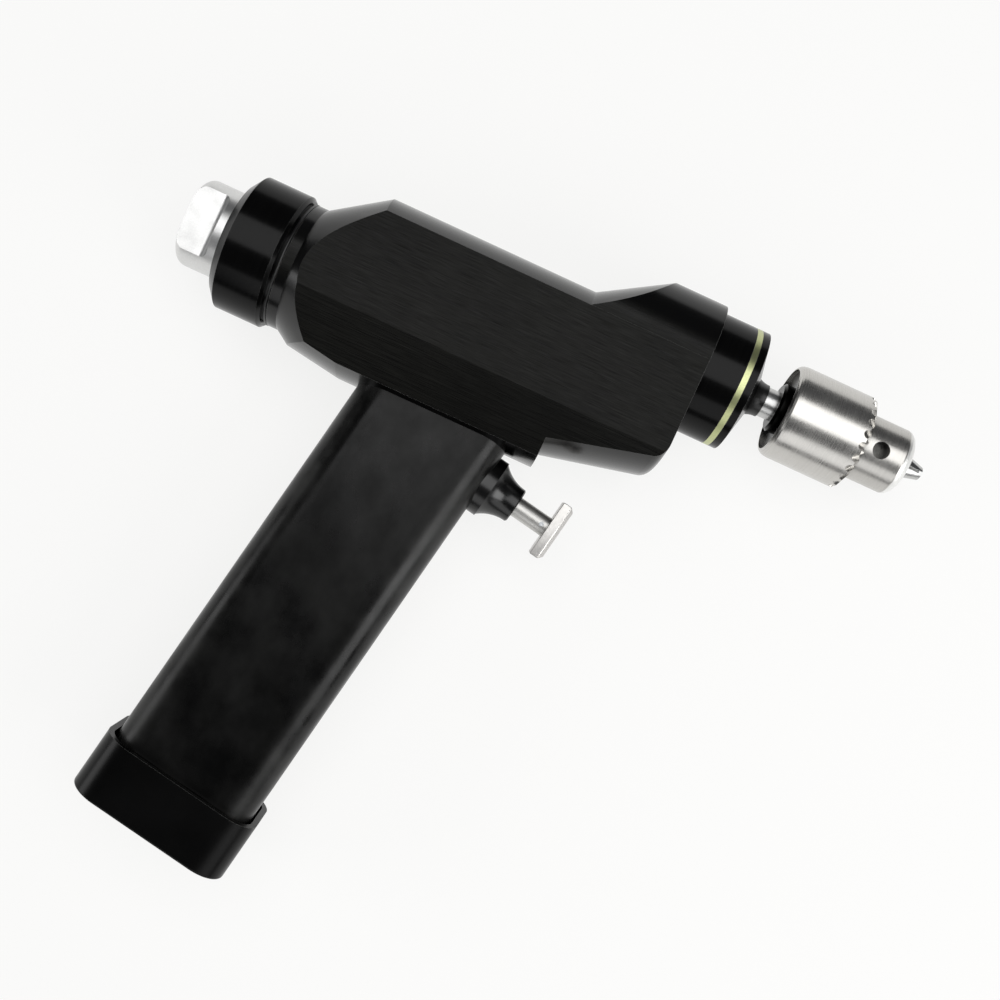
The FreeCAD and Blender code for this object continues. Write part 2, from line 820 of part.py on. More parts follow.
def jaw_cylinder(angle, radius, front, rear):
    """A cylinder on a jaw's axis between two stations ahead of the chuck's rear face."""
    apex, rearward, out = jaw_axis(angle)
    tilt = math.cos(math.radians(size("jaw_angle")))
    ahead = (front - size("jaw_apex")) / tilt
    length = (front - rear) / tilt
    return Part.makeCylinder(radius, length, apex - rearward * ahead, rearward)


def rounding(start, length, high, low):
    """Corners of a quarter ellipse that falls from a high radius to a low one along X."""
    corners = []
    for step in range(ROUNDING_STEPS + 1):
        turn = "%g" % (90 * step / ROUNDING_STEPS)
        corners.append(("%s + (%s) * sin(%s)" % (start, length, turn),
                        "%s + (%s - (%s)) * cos(%s)" % (low, high, low, turn)))
    return corners


def build_chuck_body():
    """Chuck body: turned, with three inclined jaw bores and three key pilot holes."""
    flange_end = "chuck_boss_length + chuck_flange_width"
    shoulder = "chuck_nose_start + chuck_nose_length"
    tip = shoulder + " + chuck_tip_length"
    body = turned("chuck_body_turning", [
        ("0", "spindle_thread"),
        ("0", "chuck_boss_radius - chuck_boss_edge"),
        ("chuck_boss_edge", "chuck_boss_radius"),
        ("chuck_boss_length", "chuck_boss_radius"),
        ("chuck_boss_length", "chuck_flange_radius"),
        (flange_end, "chuck_flange_radius"),
        (flange_end, "chuck_core_radius"),
        ("nut_start", "chuck_core_radius"),
        ("nut_start", "nut_groove_radius"),
        ("chuck_nose_start", "nut_groove_radius"),
        ("chuck_nose_start", "chuck_nose_radius"),
    ] + rounding(shoulder, "chuck_tip_length", "chuck_nose_radius", "chuck_mouth_radius") + [
        (tip, "chuck_bore"),
        (tip + " - chuck_bore_depth", "chuck_bore"),
        (tip + " - chuck_bore_depth", "0"),
        ("spindle_thread_length + journal_extra", "0"),
        ("spindle_thread_length + journal_extra", "spindle_thread"),
    ])
    place(body, x="chuck_gap")
    clear = size("jaw_radius") + size("jaw_clearance")
    overrun = size("overrun")
    mouth = size("chuck_nose_start") + size("chuck_nose_length") + size("chuck_tip_length")
    travel = size("jaw_open") * math.cos(math.radians(size("jaw_angle")))
    deepest = size("jaw_rear") - travel - size("jaw_end_gap")
    bores = [jaw_cylinder(angle, clear, mouth + 2 * overrun, deepest) for angle in JAW_ANGLES]
    for angle in KEY_ANGLES:
        out = outward(angle)
        start = Vector(size("chuck_gap") + size("key_hole_from_rear"), 0, 0)
        start += out * (size("chuck_nose_radius") + overrun)
        bores.append(Part.makeCylinder(
            size("key_hole_radius"), size("key_hole_depth") + overrun, start, -out))
    tools = shaped("chuck_drilling", Part.makeCompound(bores))
    keep(cut("chuck_body_drilled", body, tools), "chuck_body")


def build_chuck_sleeve():
    """Chuck sleeve: a turned shell whose front bevel carries the teeth for the key."""
    end = "sleeve_start + sleeve_length"
    rear_edge = rounding(
        "sleeve_start + sleeve_rear_bevel", "-sleeve_rear_bevel", "sleeve_radius", "sleeve_rear_rim")
    nut_end = "nut_start + nut_width + seat_gap"
    sleeve = turned("chuck_sleeve_turning", [
        ("sleeve_start", "chuck_flange_radius + running_gap"),
    ] + rear_edge[::-1] + [
        (end + " - sleeve_front_bevel", "sleeve_radius"),
        (end, "sleeve_front_radius"),
        (end, "chuck_nose_radius + running_gap"),
        (nut_end, "chuck_nose_radius + running_gap"),
        (nut_end, "nut_radius"),
        ("nut_start", "nut_radius"),
        ("nut_start", "chuck_flange_radius + running_gap"),
    ])
    place(sleeve, x="chuck_gap")
    count = int(size("sleeve_teeth"))
    overrun = size("overrun")
    end_station = size("chuck_gap") + size("sleeve_start") + size("sleeve_length")
    low = Vector(end_station + size("sleeve_notch_lift"), size("sleeve_front_radius"), 0)
    high = Vector(end_station - size("sleeve_front_bevel"), size("sleeve_radius"), 0)
    along = (high - low).normalize()
    notches = []
    for number in range(count):
        notch = Part.makeCylinder(
            size("sleeve_notch_radius"), (high - low).Length + 4 * overrun, low - along * overrun,
            along)
        notch.rotate(Vector(), X_AXIS, 360.0 * (number + 0.5) / count)
        notches.append(notch)
    tools = shaped("sleeve_notching", Part.makeCompound(notches))
    keep(cut("chuck_sleeve_toothed", sleeve, tools), "chuck_sleeve")


def build_split_nut():
    """Split nut: two half rings pressed into the sleeve, with a cone that meets the jaws."""
    tilt = math.radians(size("jaw_angle"))
    gap = size("seat_gap")
    start = size("nut_start") + gap / 2
    end = size("nut_start") + size("nut_width") - gap / 2

    def jaw_edge(station):
        middle = (size("jaw_apex") - station) * math.tan(tilt)
        return middle + size("jaw_radius") / math.cos(tilt) + gap

    radius = size("nut_radius")
    profile = face_of([
        Vector(start, jaw_edge(start), 0), Vector(start, radius, 0),
        Vector(end, radius, 0), Vector(end, jaw_edge(end), 0)])
    whole = profile.revolve(Vector(), X_AXIS, 360)
    halves = []
    for side in (-1, 1):
        edge = size("nut_split") / 2
        low = edge if side > 0 else -edge - BEYOND
        room = Part.makeBox(BEYOND, BEYOND, BEYOND, Vector(-BEYOND / 2, low, -BEYOND / 2))
        halves.append(whole.common(room))
    nut = Part.makeCompound(halves)
    nut.translate(X_AXIS * size("chuck_gap"))
    keep(shaped("chuck_nut_halves", nut), "split_nut")


def build_jaws():
    """Three jaws: round bars ground to a wedge and to the shank of the bit."""
    rear = size("chuck_gap")
    front = rear + size("jaw_tip")
    for number, angle in enumerate(JAW_ANGLES, start=1):
        out = outward(angle)
        side = X_AXIS.cross(out)
        bar = jaw_cylinder(
            angle, size("jaw_radius"), size("jaw_tip") + 2 * size("jaw_radius"), size("jaw_rear"))
        edge = out * size("jaw_relief")
        spread = out * math.cos(math.pi / 3)
        across = side * math.sin(math.pi / 3)
        wedge = face_of([edge, edge + (spread + across) * BEYOND, edge + (spread - across) * BEYOND])
        wedge.translate(X_AXIS * rear)
        jaw = bar.common(wedge.extrude(X_AXIS * (front - rear)))
        shank = Part.makeCylinder(size("bit_radius"), front, Vector(), X_AXIS)
        jaw = jaw.cut(shank)
        keep(shaped("jaw_bar_%d" % number, jaw), "jaw_%d" % number)


CAP_FRONT = "-casing_length - cap_front_gap"
CAP_REAR = CAP_FRONT + " - cap_length"


def build_rear_cap():
    """Rear screw cap with bevelled rims, and the ring that seals it."""
    thread_end = "-casing_length - neck_land - neck_thread_length - seat_gap - face_gap"
    cap = turned("rear_cap_turning", [
        (CAP_REAR, "knob_shaft_radius + running_gap"),
        (CAP_REAR, "cap_radius - cap_rear_step"),
        (CAP_REAR + " + cap_rear_bevel", "cap_radius"),
        (CAP_FRONT + " - cap_front_bevel", "cap_radius"),
        (CAP_FRONT, "cap_radius - cap_front_step"),
        (CAP_FRONT, "neck_thread_radius + thread_gap"),
        (thread_end, "neck_thread_radius + thread_gap"),
        (thread_end, "cap_inner_radius"),
        (CAP_REAR + " + cap_floor", "cap_inner_radius"),
        (CAP_REAR + " + cap_floor", "knob_shaft_radius + running_gap"),
    ])
    place(cap, y=MOTOR_Y)
    keep(cap, "rear_cap")
    seal = doc.addObject("Part::Torus", "cap_seal_ring")
    bind(seal, "Radius1", "neck_thread_radius + oring_radius")
    bind(seal, "Radius2", "oring_radius")
    seal.Placement = FreeCAD.Placement(Vector(), FreeCAD.Rotation(Y_AXIS, 90))
    bind(seal, "Placement.Base.x", "-casing_length - neck_land - 2 * face_gap")
    bind(seal, "Placement.Base.y", MOTOR_Y)
    keep(seal, "cap_oring")


def build_knob():
    """Rear lock knob with two thumb flats, each with a rounded run-out."""
    start = -size("casing_length") - size("cap_front_gap") - size("cap_length") - size("knob_gap")
    end = start - size("knob_length")
    radius = size("knob_radius")
    knob = Part.makeCylinder(radius, size("knob_length"), Vector(end, 0, 0), X_AXIS)
    rim = [edge for edge in knob.Edges if lies_at(edge, end)]
    knob = knob.makeFillet(size("knob_edge"), rim)
    flat = size("knob_flat")
    length = size("knob_flat_length")
    overrun = size("overrun")
    for side in (-1, 1):
        low = flat if side > 0 else -flat - radius
        room = Part.makeBox(
            length + overrun, 3 * radius, radius, Vector(end - overrun, -1.5 * radius, low))
        inner_edge = [edge for edge in room.Edges if lies_at(edge, end + length)
                      and abs(abs(edge.BoundBox.ZMin) - flat) < TINY
                      and abs(abs(edge.BoundBox.ZMax) - flat) < TINY]
        knob = knob.cut(room.makeFillet(size("knob_run_out"), inner_edge))
    keep(shaped("lock_knob", knob, y=-size("axis_offset")), "rear_knob")


def build_latch():
    """Shaft of the knob, its latch bar inside the cap and the screw that joins them."""
    shaft_rear = CAP_REAR + " - knob_gap"
    shaft_front = CAP_REAR + " + cap_floor + face_gap"
    latch_front = shaft_front + " + latch_thickness"
    shaft = turned("knob_shaft_turning", [
        (shaft_rear, "knob_screw_hole"),
        (shaft_rear, "knob_shaft_radius"),
        (shaft_front, "knob_shaft_radius"),
        (shaft_front, "knob_screw_hole"),
    ])
    place(shaft, y=MOTOR_Y)
    keep(shaft, "knob_shaft")
    latch = tool_box(
        "latch_bar_blank",
        (shaft_front, "-axis_offset - latch_length / 2", "-latch_width / 2"),
        (latch_front, "-axis_offset + latch_length / 2", "latch_width / 2"))
    hole = tool_cylinder(
        "latch_bar_hole", "knob_screw_hole", shaft_front + " - overrun", latch_front + " + overrun",
        MOTOR_Y)
    keep(cut("latch_bar_drilled", latch, hole), "knob_latch")
    screw = turned("knob_screw_turning", [
        (shaft_rear, "0"),
        (shaft_rear, "knob_screw_radius"),
        (latch_front, "knob_screw_radius"),
        (latch_front, "knob_screw_head"),
        (latch_front + " + knob_screw_head_height", "knob_screw_head"),
        (latch_front + " + knob_screw_head_height", "0"),
    ])
    place(screw, y=MOTOR_Y)
    keep(screw, "knob_screw")


MOTOR_FRONT = "-motor_front"
MOTOR_REAR = "-motor_front - motor_length"


def build_motor_shell():
    """Can, end bell and spacer tube of the motor."""
    can = turned("motor_can_drawing", [
        (MOTOR_FRONT, "motor_can_mouth"),
        (MOTOR_FRONT, "motor_radius"),
        (MOTOR_REAR, "motor_radius"),
        (MOTOR_REAR, "motor_radius - motor_wall"),
        (MOTOR_FRONT + " - motor_wall", "motor_radius - motor_wall"),
        (MOTOR_FRONT + " - motor_wall", "motor_can_mouth"),
    ])
    place(can, y=MOTOR_Y)
    keep(can, "motor_can")
    bell_rear = MOTOR_REAR + " - motor_bell_length"
    bell = turned("motor_bell_moulding", [
        (bell_rear, "motor_bell_mouth"),
        (bell_rear, "motor_radius - motor_bell_edge"),
        (bell_rear + " + motor_bell_edge", "motor_radius"),
        (MOTOR_REAR, "motor_radius"),
        (MOTOR_REAR, "motor_bell_mouth"),
    ])
    place(bell, y=MOTOR_Y)
    keep(bell, "motor_end_bell")
    spacer = ring(
        "bay_spacer", "-casing_length - neck_land - neck_thread_length - 2 * seat_gap",
        bell_rear, "motor_radius", "motor_radius - spacer_wall")
    place(spacer, y=MOTOR_Y)
    keep(spacer, "motor_spacer")


def build_motor_core():
    """Rotor, its two bearings and the field magnets."""
    front_bearing = MOTOR_FRONT + " - motor_wall"
    for label, start, end in (
            ("motor_bearing_front", front_bearing + " - motor_bearing_width", front_bearing),
            ("motor_bearing_rear", MOTOR_REAR, MOTOR_REAR + " + motor_bearing_width")):
        bearing = ring(label + "_race", start, end, "motor_bearing_radius", "motor_shaft_radius")
        place(bearing, y=MOTOR_Y)
        keep(bearing, label)
    windings = MOTOR_REAR + " + winding_start"
    pinion_end = "-gear_rear + gear_width + pinion_extra"
    shaft = turned("rotor_shaft_turning", [
        (MOTOR_REAR + " - rotor_tail", "0"),
        (MOTOR_REAR + " - rotor_tail", "motor_shaft_radius - running_gap"),
        (MOTOR_REAR + " + commutator_start", "motor_shaft_radius - running_gap"),
        (MOTOR_REAR + " + commutator_start", "commutator_radius"),
        (windings, "commutator_radius"),
        (windings, "rotor_radius"),
        (windings + " + rotor_length", "rotor_radius"),
        (windings + " + rotor_length", "motor_shaft_radius - running_gap"),
        (MOTOR_FRONT + " + overrun", "motor_shaft_radius - running_gap"),
        (MOTOR_FRONT + " + overrun", "motor_shaft_radius"),
        (pinion_end, "motor_shaft_radius"),
        (pinion_end, "0"),
    ])
    place(shaft, y=MOTOR_Y)
    keep(shaft, "motor_rotor")
    spread = size("magnet_angle")
    inner = size("rotor_radius") + size("magnet_gap")
    outer = size("motor_radius") - size("motor_wall")
    start = -size("motor_front") - size("motor_length") + size("winding_start")
    end = start + size("rotor_length")
    profile = face_of([
        Vector(start, inner, 0), Vector(start, outer, 0), Vector(end, outer, 0), Vector(end, inner, 0)])
    arcs = []
    for side in (0, 180):
        arc = profile.revolve(Vector(), X_AXIS, spread)
        arc.rotate(Vector(), X_AXIS, side - spread / 2)
        arcs.append(arc)
    keep(shaped("field_magnets", Part.makeCompound(arcs), y=-size("axis_offset")), "motor_magnets")


def seat(name, shape, label):
    """Keep a piece modelled in the grip's frame, placed by its Placement."""
    piece = shaped(
        name, shape, turn=-size("grip_sweep"), x=-size("grip_station"),
        y=-size("axis_offset") - size("floor_depth"))
    return keep(piece, label)


def below_roof(drop):
    """The room below the flat top of the grip, in the grip's frame, lowered by drop."""
    top = size("grip_tenon") - size("seat_gap")
    room = Part.makeBox(
        2 * BEYOND, 2 * BEYOND, BEYOND, Vector(-BEYOND, top - 2 * BEYOND, -BEYOND / 2))
    room.rotate(Vector(), Z_AXIS, size("grip_sweep"))
    room.translate(Vector(0, -drop, 0))
    return room


def build_grip():
    """Grip tube: rounded box section, flat roof let into the casing, wall bored for the guide."""
    width = size("grip_width")
    thick = size("grip_thickness")
    wall = size("grip_wall")
    drop = -size("trigger_drop")
    overrun = size("overrun")
    stock_top = width / 4
    outer = round_box(width, thick, size("grip_corner"), -size("grip_length"), stock_top)
    inner = round_box(
        width - 2 * wall, thick - 2 * wall, size("grip_corner") - wall,
        -size("grip_length") - overrun, stock_top)
    tube = outer.common(below_roof(0)).cut(inner.common(below_roof(size("grip_roof"))))
    inside = width / 2 - wall
    nut_room = inside - size("guide_nut_room")
    holes = [
        Part.makeCylinder(
            size("guide_spigot_radius"), wall + 2 * overrun, Vector(inside - overrun, drop, 0), X_AXIS),
        Part.makeCylinder(
            size("guide_nut_radius") + size("face_gap"), size("guide_nut_room"),
            Vector(nut_room, drop, 0), X_AXIS),
    ]
    for side, radius in ((-1, "screw_radius"), (0, "lead_hole_radius"), (1, "screw_radius")):
        hole = Part.makeCylinder(
            size(radius), width, Vector(side * size("screw_spread"), stock_top, 0), -Y_AXIS)
        hole.rotate(Vector(), Z_AXIS, size("grip_sweep"))
        holes.append(hole.common(below_roof(-stock_top)))
    for hole in holes:
        tube = tube.cut(hole)
    seat("grip_tube", tube, "grip")


def build_base():
    """Base cap: a cup round the foot of the grip, with its gasket."""
    rim = -size("cap_rim_station")
    bottom = rim - size("base_height")
    floor = rim - size("base_cup_depth")
    wall = size("base_wall")
    cup_width = size("grip_width") + 2 * size("base_fit")
    cup_thickness = size("grip_thickness") + 2 * size("base_fit")
    outer = round_box(
        cup_width + 2 * wall, cup_thickness + 2 * wall, size("base_corner"), bottom, rim)
    floor_edges = [edge for edge in outer.Edges if abs(edge.BoundBox.YMin - bottom) < TINY
                   and abs(edge.BoundBox.YMax - bottom) < TINY]
    outer = outer.makeFillet(size("base_edge"), floor_edges)
    cup = round_box(
        cup_width, cup_thickness, size("base_corner") - wall, floor, rim + size("overrun"))
    seat("base_cup", outer.cut(cup), "base_cap")
    thickness = size("gasket_thickness")
    margin = size("seat_gap")
    gasket = round_box(
        size("grip_width") - 4 * margin, size("grip_thickness") - 4 * margin,
        size("grip_corner") - 2 * margin, floor, floor + thickness)
    band = 2 * margin + size("gasket_width")
    hole = round_box(
        size("grip_width") - 2 * band, size("grip_thickness") - 2 * band,
        size("grip_corner") - band, floor - thickness, floor + 2 * thickness)
    seat("base_gasket_ring", gasket.cut(hole), "base_gasket")


def build_battery():
    """Battery module: moulded holder, four cells and a contact plate on the base cap."""
    margin = size("grip_wall") + size("battery_side_gap")
    width = size("grip_width") - 2 * margin
    thick = size("grip_thickness") - 2 * margin
    corner = size("grip_corner") - margin
    top = -size("battery_top")
    gap = size("seat_gap")
    radius = size("cell_radius")
    pitch = radius + size("cell_wall")
    length = size("cell_length")
    space = size("cell_space")
    button_height = size("button_height")
    stack = 2 * length + 5 * space + gap
    holder = round_box(
        width, thick, corner, -size("cap_rim_station") - size("base_cup_depth"), top)
    cells = []
    for side in (-1, 1):
        room = Part.makeCylinder(radius + gap, stack, Vector(side * pitch, top + gap, 0), -Y_AXIS)
        holder = holder.cut(room)
        for step in (0, 1):
            start = Vector(side * pitch, top - space - step * (length + space), 0)
            button = Part.makeCylinder(size("button_radius"), button_height, start, -Y_AXIS)
            cell = Part.makeCylinder(
                radius, length - button_height, start - Y_AXIS * button_height, -Y_AXIS)
            cells.append(cell.fuse(button).removeSplitter())
    rail = size("holder_rail")
    window = Part.makeBox(
        width - 2 * rail, 2 * length - 2 * rail, 2 * thick,
        Vector(-width / 2 + rail, top - 2 * length + rail, -thick))
    holder = holder.cut(window)
    seat("battery_holder_frame", holder, "battery_holder")
    seat("battery_cell_set", Part.makeCompound(cells), "battery_cells")
    inset = size("plate_inset")
    plate_top = top + gap + size("plate_thickness")
    plate = round_box(
        width - 2 * inset, thick - 2 * inset, corner - inset, top + gap, plate_top)
    for side in (-1, 1):
        stud = Part.makeCylinder(
            size("stud_radius"), size("stud_height") + gap,
            Vector(side * pitch, plate_top - gap, 0), Y_AXIS)
        plate = plate.fuse(stud)
    seat("battery_contact_plate", plate.removeSplitter(), "battery_terminals")
    clear = size("grip_wall") + gap
    block_bottom = plate_top + size("contact_gap")
    block = round_box(
        size("grip_width") - 2 * clear, size("grip_thickness") - 2 * clear,
        size("grip_corner") - clear, block_bottom, block_bottom + size("contact_block_height"))
    seat("contact_block_moulding", block, "contact_block")


def along_rod(start, end, radius):
    """Round stock on the trigger's axis between two stations, in the grip's frame."""
    return Part.makeCylinder(radius, end - start, Vector(start, -size("trigger_drop"), 0), X_AXIS)


def guide_inner_end():
    """Station of the guide's threaded end inside the grip."""
    return (size("grip_width") / 2 - size("grip_wall") - size("guide_nut_width")
            - size("guide_thread_extra"))


def switch_front():
    """Station of the switch block's front face, set from the grip's rear wall."""
    return (-size("grip_width") / 2 + size("grip_wall") + size("switch_back_gap")
            + size("switch_width"))


def build_guide():
    """Flanged and flared guide of the trigger rod, and the nut behind the grip's wall."""
    front = size("grip_width") / 2
    drop = -size("trigger_drop")
    edge = size("guide_edge")
    flange_end = front + size("guide_flange_width")
    tip = flange_end + size("guide_length")
    low = size("guide_tip_radius")
    high = size("guide_flange_radius")
    root = front - size("guide_root")
    walls = Part.makePolygon([
        Vector(tip - edge, low, 0), Vector(tip, low - edge, 0), Vector(tip, 0, 0),
        Vector(root, 0, 0), Vector(root, high, 0), Vector(flange_end, high, 0),
        Vector(flange_end, high - edge, 0)])
    profile = Part.Face(Part.Wire([flare(flange_end, tip - edge, high - edge, low)] + walls.Edges))
    guide = profile.revolve(Vector(), X_AXIS, 360)
    guide.translate(Vector(0, drop, 0))
    fit = size("flange_fit")
    grip_stock = round_box(
        size("grip_width") + 2 * fit, size("grip_thickness") + 2 * fit, size("grip_corner") + fit,
        -BEYOND, BEYOND)
    guide = guide.cut(grip_stock)
    inner_end = guide_inner_end()
    overrun = size("overrun")
    guide = guide.fuse(along_rod(inner_end, front + overrun, size("guide_spigot_radius")))
    bore = size("rod_radius") + size("running_gap")
    guide = guide.cut(along_rod(inner_end - overrun, tip + overrun, bore)).removeSplitter()
    seat("trigger_guide_turning", guide, "trigger_guide")

    nut_end = front - size("grip_wall") - size("seat_gap") / 2
    nut_start = nut_end - size("guide_nut_width")
    hexagon = []
    for corner in range(6):
        angle = math.pi / 3 * (corner + 0.5)
        hexagon.append(Vector(
            nut_start, drop + size("guide_nut_radius") * math.cos(angle),
            size("guide_nut_radius") * math.sin(angle)))
    nut = face_of(hexagon).extrude(X_AXIS * size("guide_nut_width"))
    nut = nut.cut(along_rod(nut_start - overrun, nut_end + overrun, size("guide_spigot_radius")))
    seat("guide_nut_blank", nut, "guide_nut")


def build_trigger():
    """Trigger: rod, cross-bar and its pin, clip, magnet, return spring and switch block."""
    drop = -size("trigger_drop")
    radius = size("rod_radius")
    bar_start = (size("grip_width") / 2 + size("guide_flange_width") + size("guide_length")
                 + size("rod_reach"))
    block_end = switch_front()
    tail = block_end + size("spring_room")
    rod = along_rod(tail, bar_start, radius)
    rod = rod.fuse(along_rod(tail - size("rod_tail_length"), tail + TINY, size("rod_tail_radius")))
    pin = Vector(bar_start - size("pin_setback"), drop, -radius)
    pin_radius = size("pin_radius")
    rod = rod.cut(Part.makeCylinder(pin_radius, 4 * radius, pin - Z_AXIS * radius, Z_AXIS))
    seat("trigger_rod_turning", rod.removeSplitter(), "trigger_rod")
    inset = size("pin_inset")
    seat("trigger_pin_turning", Part.makeCylinder(
        pin_radius, 2 * (radius - inset), pin + Z_AXIS * inset, Z_AXIS), "trigger_pin")

    length = size("bar_length")
    depth = size("bar_depth")
    bar = Part.makeBox(
        size("bar_thickness"), length, depth, Vector(bar_start, drop - length / 2, -depth / 2))
    front_edges = [edge for edge in bar.Edges if lies_at(edge, bar_start + size("bar_thickness"))]
    seat("trigger_bar_milling", bar.makeChamfer(size("bar_bevel"), front_edges), "trigger_bar")

    clip_end = guide_inner_end() - size("face_gap")
    clip_start = clip_end - size("clip_width")
    clip = along_rod(clip_start, clip_end, size("clip_radius"))
    seat("trigger_clip_ring", clip.cut(along_rod(clip_start, clip_end, radius)), "trigger_clip")
    magnet_end = clip_start - 2 * size("seat_gap")
    magnet_start = magnet_end - size("magnet_width")
    magnet = along_rod(magnet_start, magnet_end, size("magnet_radius"))
    seat("trigger_magnet_ring", magnet.cut(along_rod(magnet_start, magnet_end, radius)),
         "trigger_magnet")

    build_switch(block_end)
    build_spring(block_end, tail)


def build_switch(block_end):
    """Switch block behind the trigger, with a clear hole for the rod's tail."""
    margin = size("grip_wall") + size("block_gap")
    width = size("switch_width")
    overrun = size("overrun")
    block = Part.makeBox(
        width, size("switch_height"), size("grip_thickness") - 2 * margin,
        Vector(block_end - width, -size("trigger_drop") - size("switch_low"),
               -size("grip_thickness") / 2 + margin))
    hole = along_rod(
        block_end - width - overrun, block_end + overrun,
        size("rod_tail_radius") + size("plunger_gap"))
    seat("switch_block_moulding", block.cut(hole), "trigger_switch")


def build_spring(start, end):
    """Return spring between the switch block and the rod's shoulder."""
    wire = size("spring_wire")
    reach = end - start - size("seat_gap") - 2 * wire
    path = Part.makeHelix(reach / size("spring_turns"), reach, size("spring_radius"))
    section = Part.Wire(Part.makeCircle(wire, Vector(size("spring_radius"), 0, 0), Y_AXIS))
    coil = Part.Wire(path.Edges).makePipeShell([section], True, True)
    coil.rotate(Vector(), Y_AXIS, 90)
    coil.translate(Vector(start + size("seat_gap") / 2 + wire, -size("trigger_drop"), 0))
    seat("trigger_spring_coil", coil, "trigger_spring")


def build_board():
    """Control board below the trigger, with two chips."""
    margin = size("grip_wall") + size("board_gap")
    length = size("board_length")
    low = -size("trigger_drop") - size("board_drop")
    board = Part.makeBox(
        length, size("board_thickness"), size("grip_thickness") - 2 * margin,
        Vector(-length / 2, low, -size("grip_thickness") / 2 + margin))
    for station, side, height in (
            (-size("chip_offset"), size("driver_side"), size("driver_height")),
            (size("chip_offset"), size("coil_side"), size("coil_height"))):
        chip = Part.makeBox(
            side, height, side,
            Vector(station - side / 2, low + size("board_thickness"), -side / 2))
        board = board.fuse(chip)
    seat("control_board_panel", board.removeSplitter(), "control_board")


def check_model():
    """Stop if any object failed or any sub-part has no valid shape."""
    doc.recompute()
    failed = [item.Name for item in doc.Objects
              if "Invalid" in item.State or "Error" in item.State]
    for piece in subparts:
        if piece.Shape.isNull() or not piece.Shape.isValid() or piece.Shape.Volume <= 0:
            failed.append(piece.Label)
    if failed:
        raise RuntimeError("not built: " + ", ".join(failed))


def export():
    """Write each sub-part to a file of its own."""
    os.makedirs("parts", exist_ok=True)
    for piece in subparts:
        piece.Shape.exportStep("parts/%s.step" % piece.Label)


def main():
    fill_sheet()
    build_housing()
    build_grip_screws()
    build_gears()
    build_spindle()
    build_bearings()
    build_nose()
    build_seal()
    build_chuck_body()
    build_chuck_sleeve()
    build_split_nut()
    build_jaws()
    build_rear_cap()
    build_knob()
    build_latch()
    build_motor_shell()
    build_motor_core()
    build_grip()
    build_base()
    build_battery()
    build_guide()
    build_trigger()
    build_board()
    check_model()
    export()


main()
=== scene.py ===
"""Surgical power drill lying on its left side on a pale bench, seen from above."""
import math

import bmesh
import bpy
from mathutils import Matrix, Vector


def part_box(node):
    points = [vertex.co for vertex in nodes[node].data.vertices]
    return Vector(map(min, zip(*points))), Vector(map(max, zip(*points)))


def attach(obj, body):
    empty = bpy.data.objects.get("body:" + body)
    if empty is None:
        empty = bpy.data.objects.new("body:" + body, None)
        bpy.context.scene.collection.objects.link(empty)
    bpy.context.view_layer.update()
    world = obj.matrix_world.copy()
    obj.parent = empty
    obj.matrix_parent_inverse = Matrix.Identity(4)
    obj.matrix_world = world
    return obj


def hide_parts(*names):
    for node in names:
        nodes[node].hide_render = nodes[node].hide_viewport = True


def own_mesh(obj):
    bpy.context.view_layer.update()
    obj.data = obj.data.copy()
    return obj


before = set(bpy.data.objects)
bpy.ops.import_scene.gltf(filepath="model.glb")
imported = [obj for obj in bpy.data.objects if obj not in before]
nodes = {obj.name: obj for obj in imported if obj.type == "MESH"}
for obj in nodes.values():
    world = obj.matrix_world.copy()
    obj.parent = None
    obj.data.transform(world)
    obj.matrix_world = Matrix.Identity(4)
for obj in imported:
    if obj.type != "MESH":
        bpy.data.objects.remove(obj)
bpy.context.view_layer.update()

MM = 0.001

# Height of the bench in metres: the flat side of the casing rests on it.
BENCH = -21.25 * MM
# Half the side of the bench top in metres.
BENCH_REACH = 30.0
# Share of the bench's own light in what the camera and mirrors see of it.
BENCH_GLOW = 0.83

# Noise hardly leaves this span, which is spread over a pattern's low and high.
NOISE_SPAN = (0.32, 0.68)
# Turn of the normal at which the painted edge highlight and wear begin and at which they are full.
EDGE_TURN = (0.4, 0.75)
# Strength of every fine relief; its depth is given in millimetres.
RELIEF = 0.5
# Width in millimetres of the painted highlight and wear along a machined edge of black aluminium.
EDGE_WIDTH = 0.2
# Brush lines on the milled flats, in mm along X, Y and Z. Real ones are finer; they are drawn
# this wide so that they show.
BRUSH_LINES = (11, 0.13, 0.13)
# Finer lines that carry the flats' mirror strength, bundles of lines, and cloudy patches.
SHINE_LINES = (7, 0.12, 0.12)
STREAKS = (60, 1.4, 1.4)
CLOUDS = (38, 30, 30)
# Patches that hands leave on the grip, in millimetres, and those of its mirror strength.
SMUDGES = (15, 19, 15)
SMUDGE_SHINE = (15, 22, 15)
# Painted shade in grooves of black parts: reach of their walls in mm, span of open sky, and
# strength.
GROOVE = (3, 0.35, 0.8, 1.0)
GROOVE_SHADE_COLOUR = "#020202"
# Painted edge highlight, in the colour of aluminium where the black oxide has worn off an edge.
EDGE_HIGHLIGHT_AND_WEAR = "#c9c9c6"
# Variation of roughness to both sides of a material's own value.
GLOSS_DRIFT = 0.04
# Width in millimetres of the step between two finishes of one turned part.
FINISH_STEP = 0.4

# Chuck body in millimetres: length of its pale tip and of its heel, which is painted dark as
# shade.
CHUCK_TIP = 3.6
CHUCK_HEEL = 6

# Angles in degrees above which an edge is drawn sharp: on CAD faces and on the eased bar.
CURVE_ANGLE = 28
BAR_ANGLE = 24
# The bar's points closer than this, in mm, are one, and faces within these degrees are flat.
SAME_POINT = 0.001
FLAT_ANGLE = 1
# The bar's edges to ease turn more than this many degrees and are longer than this, in mm.
EASED_TURN = 25
EASED_LENGTH = 2

# Camera: sensor in millimetres, focal length as a share of it, and its three turns in degrees.
SENSOR = 36
FOCAL_SHARE = 1.24
NOD = 0.45
LEAN = -0.845
TURN = 24.68
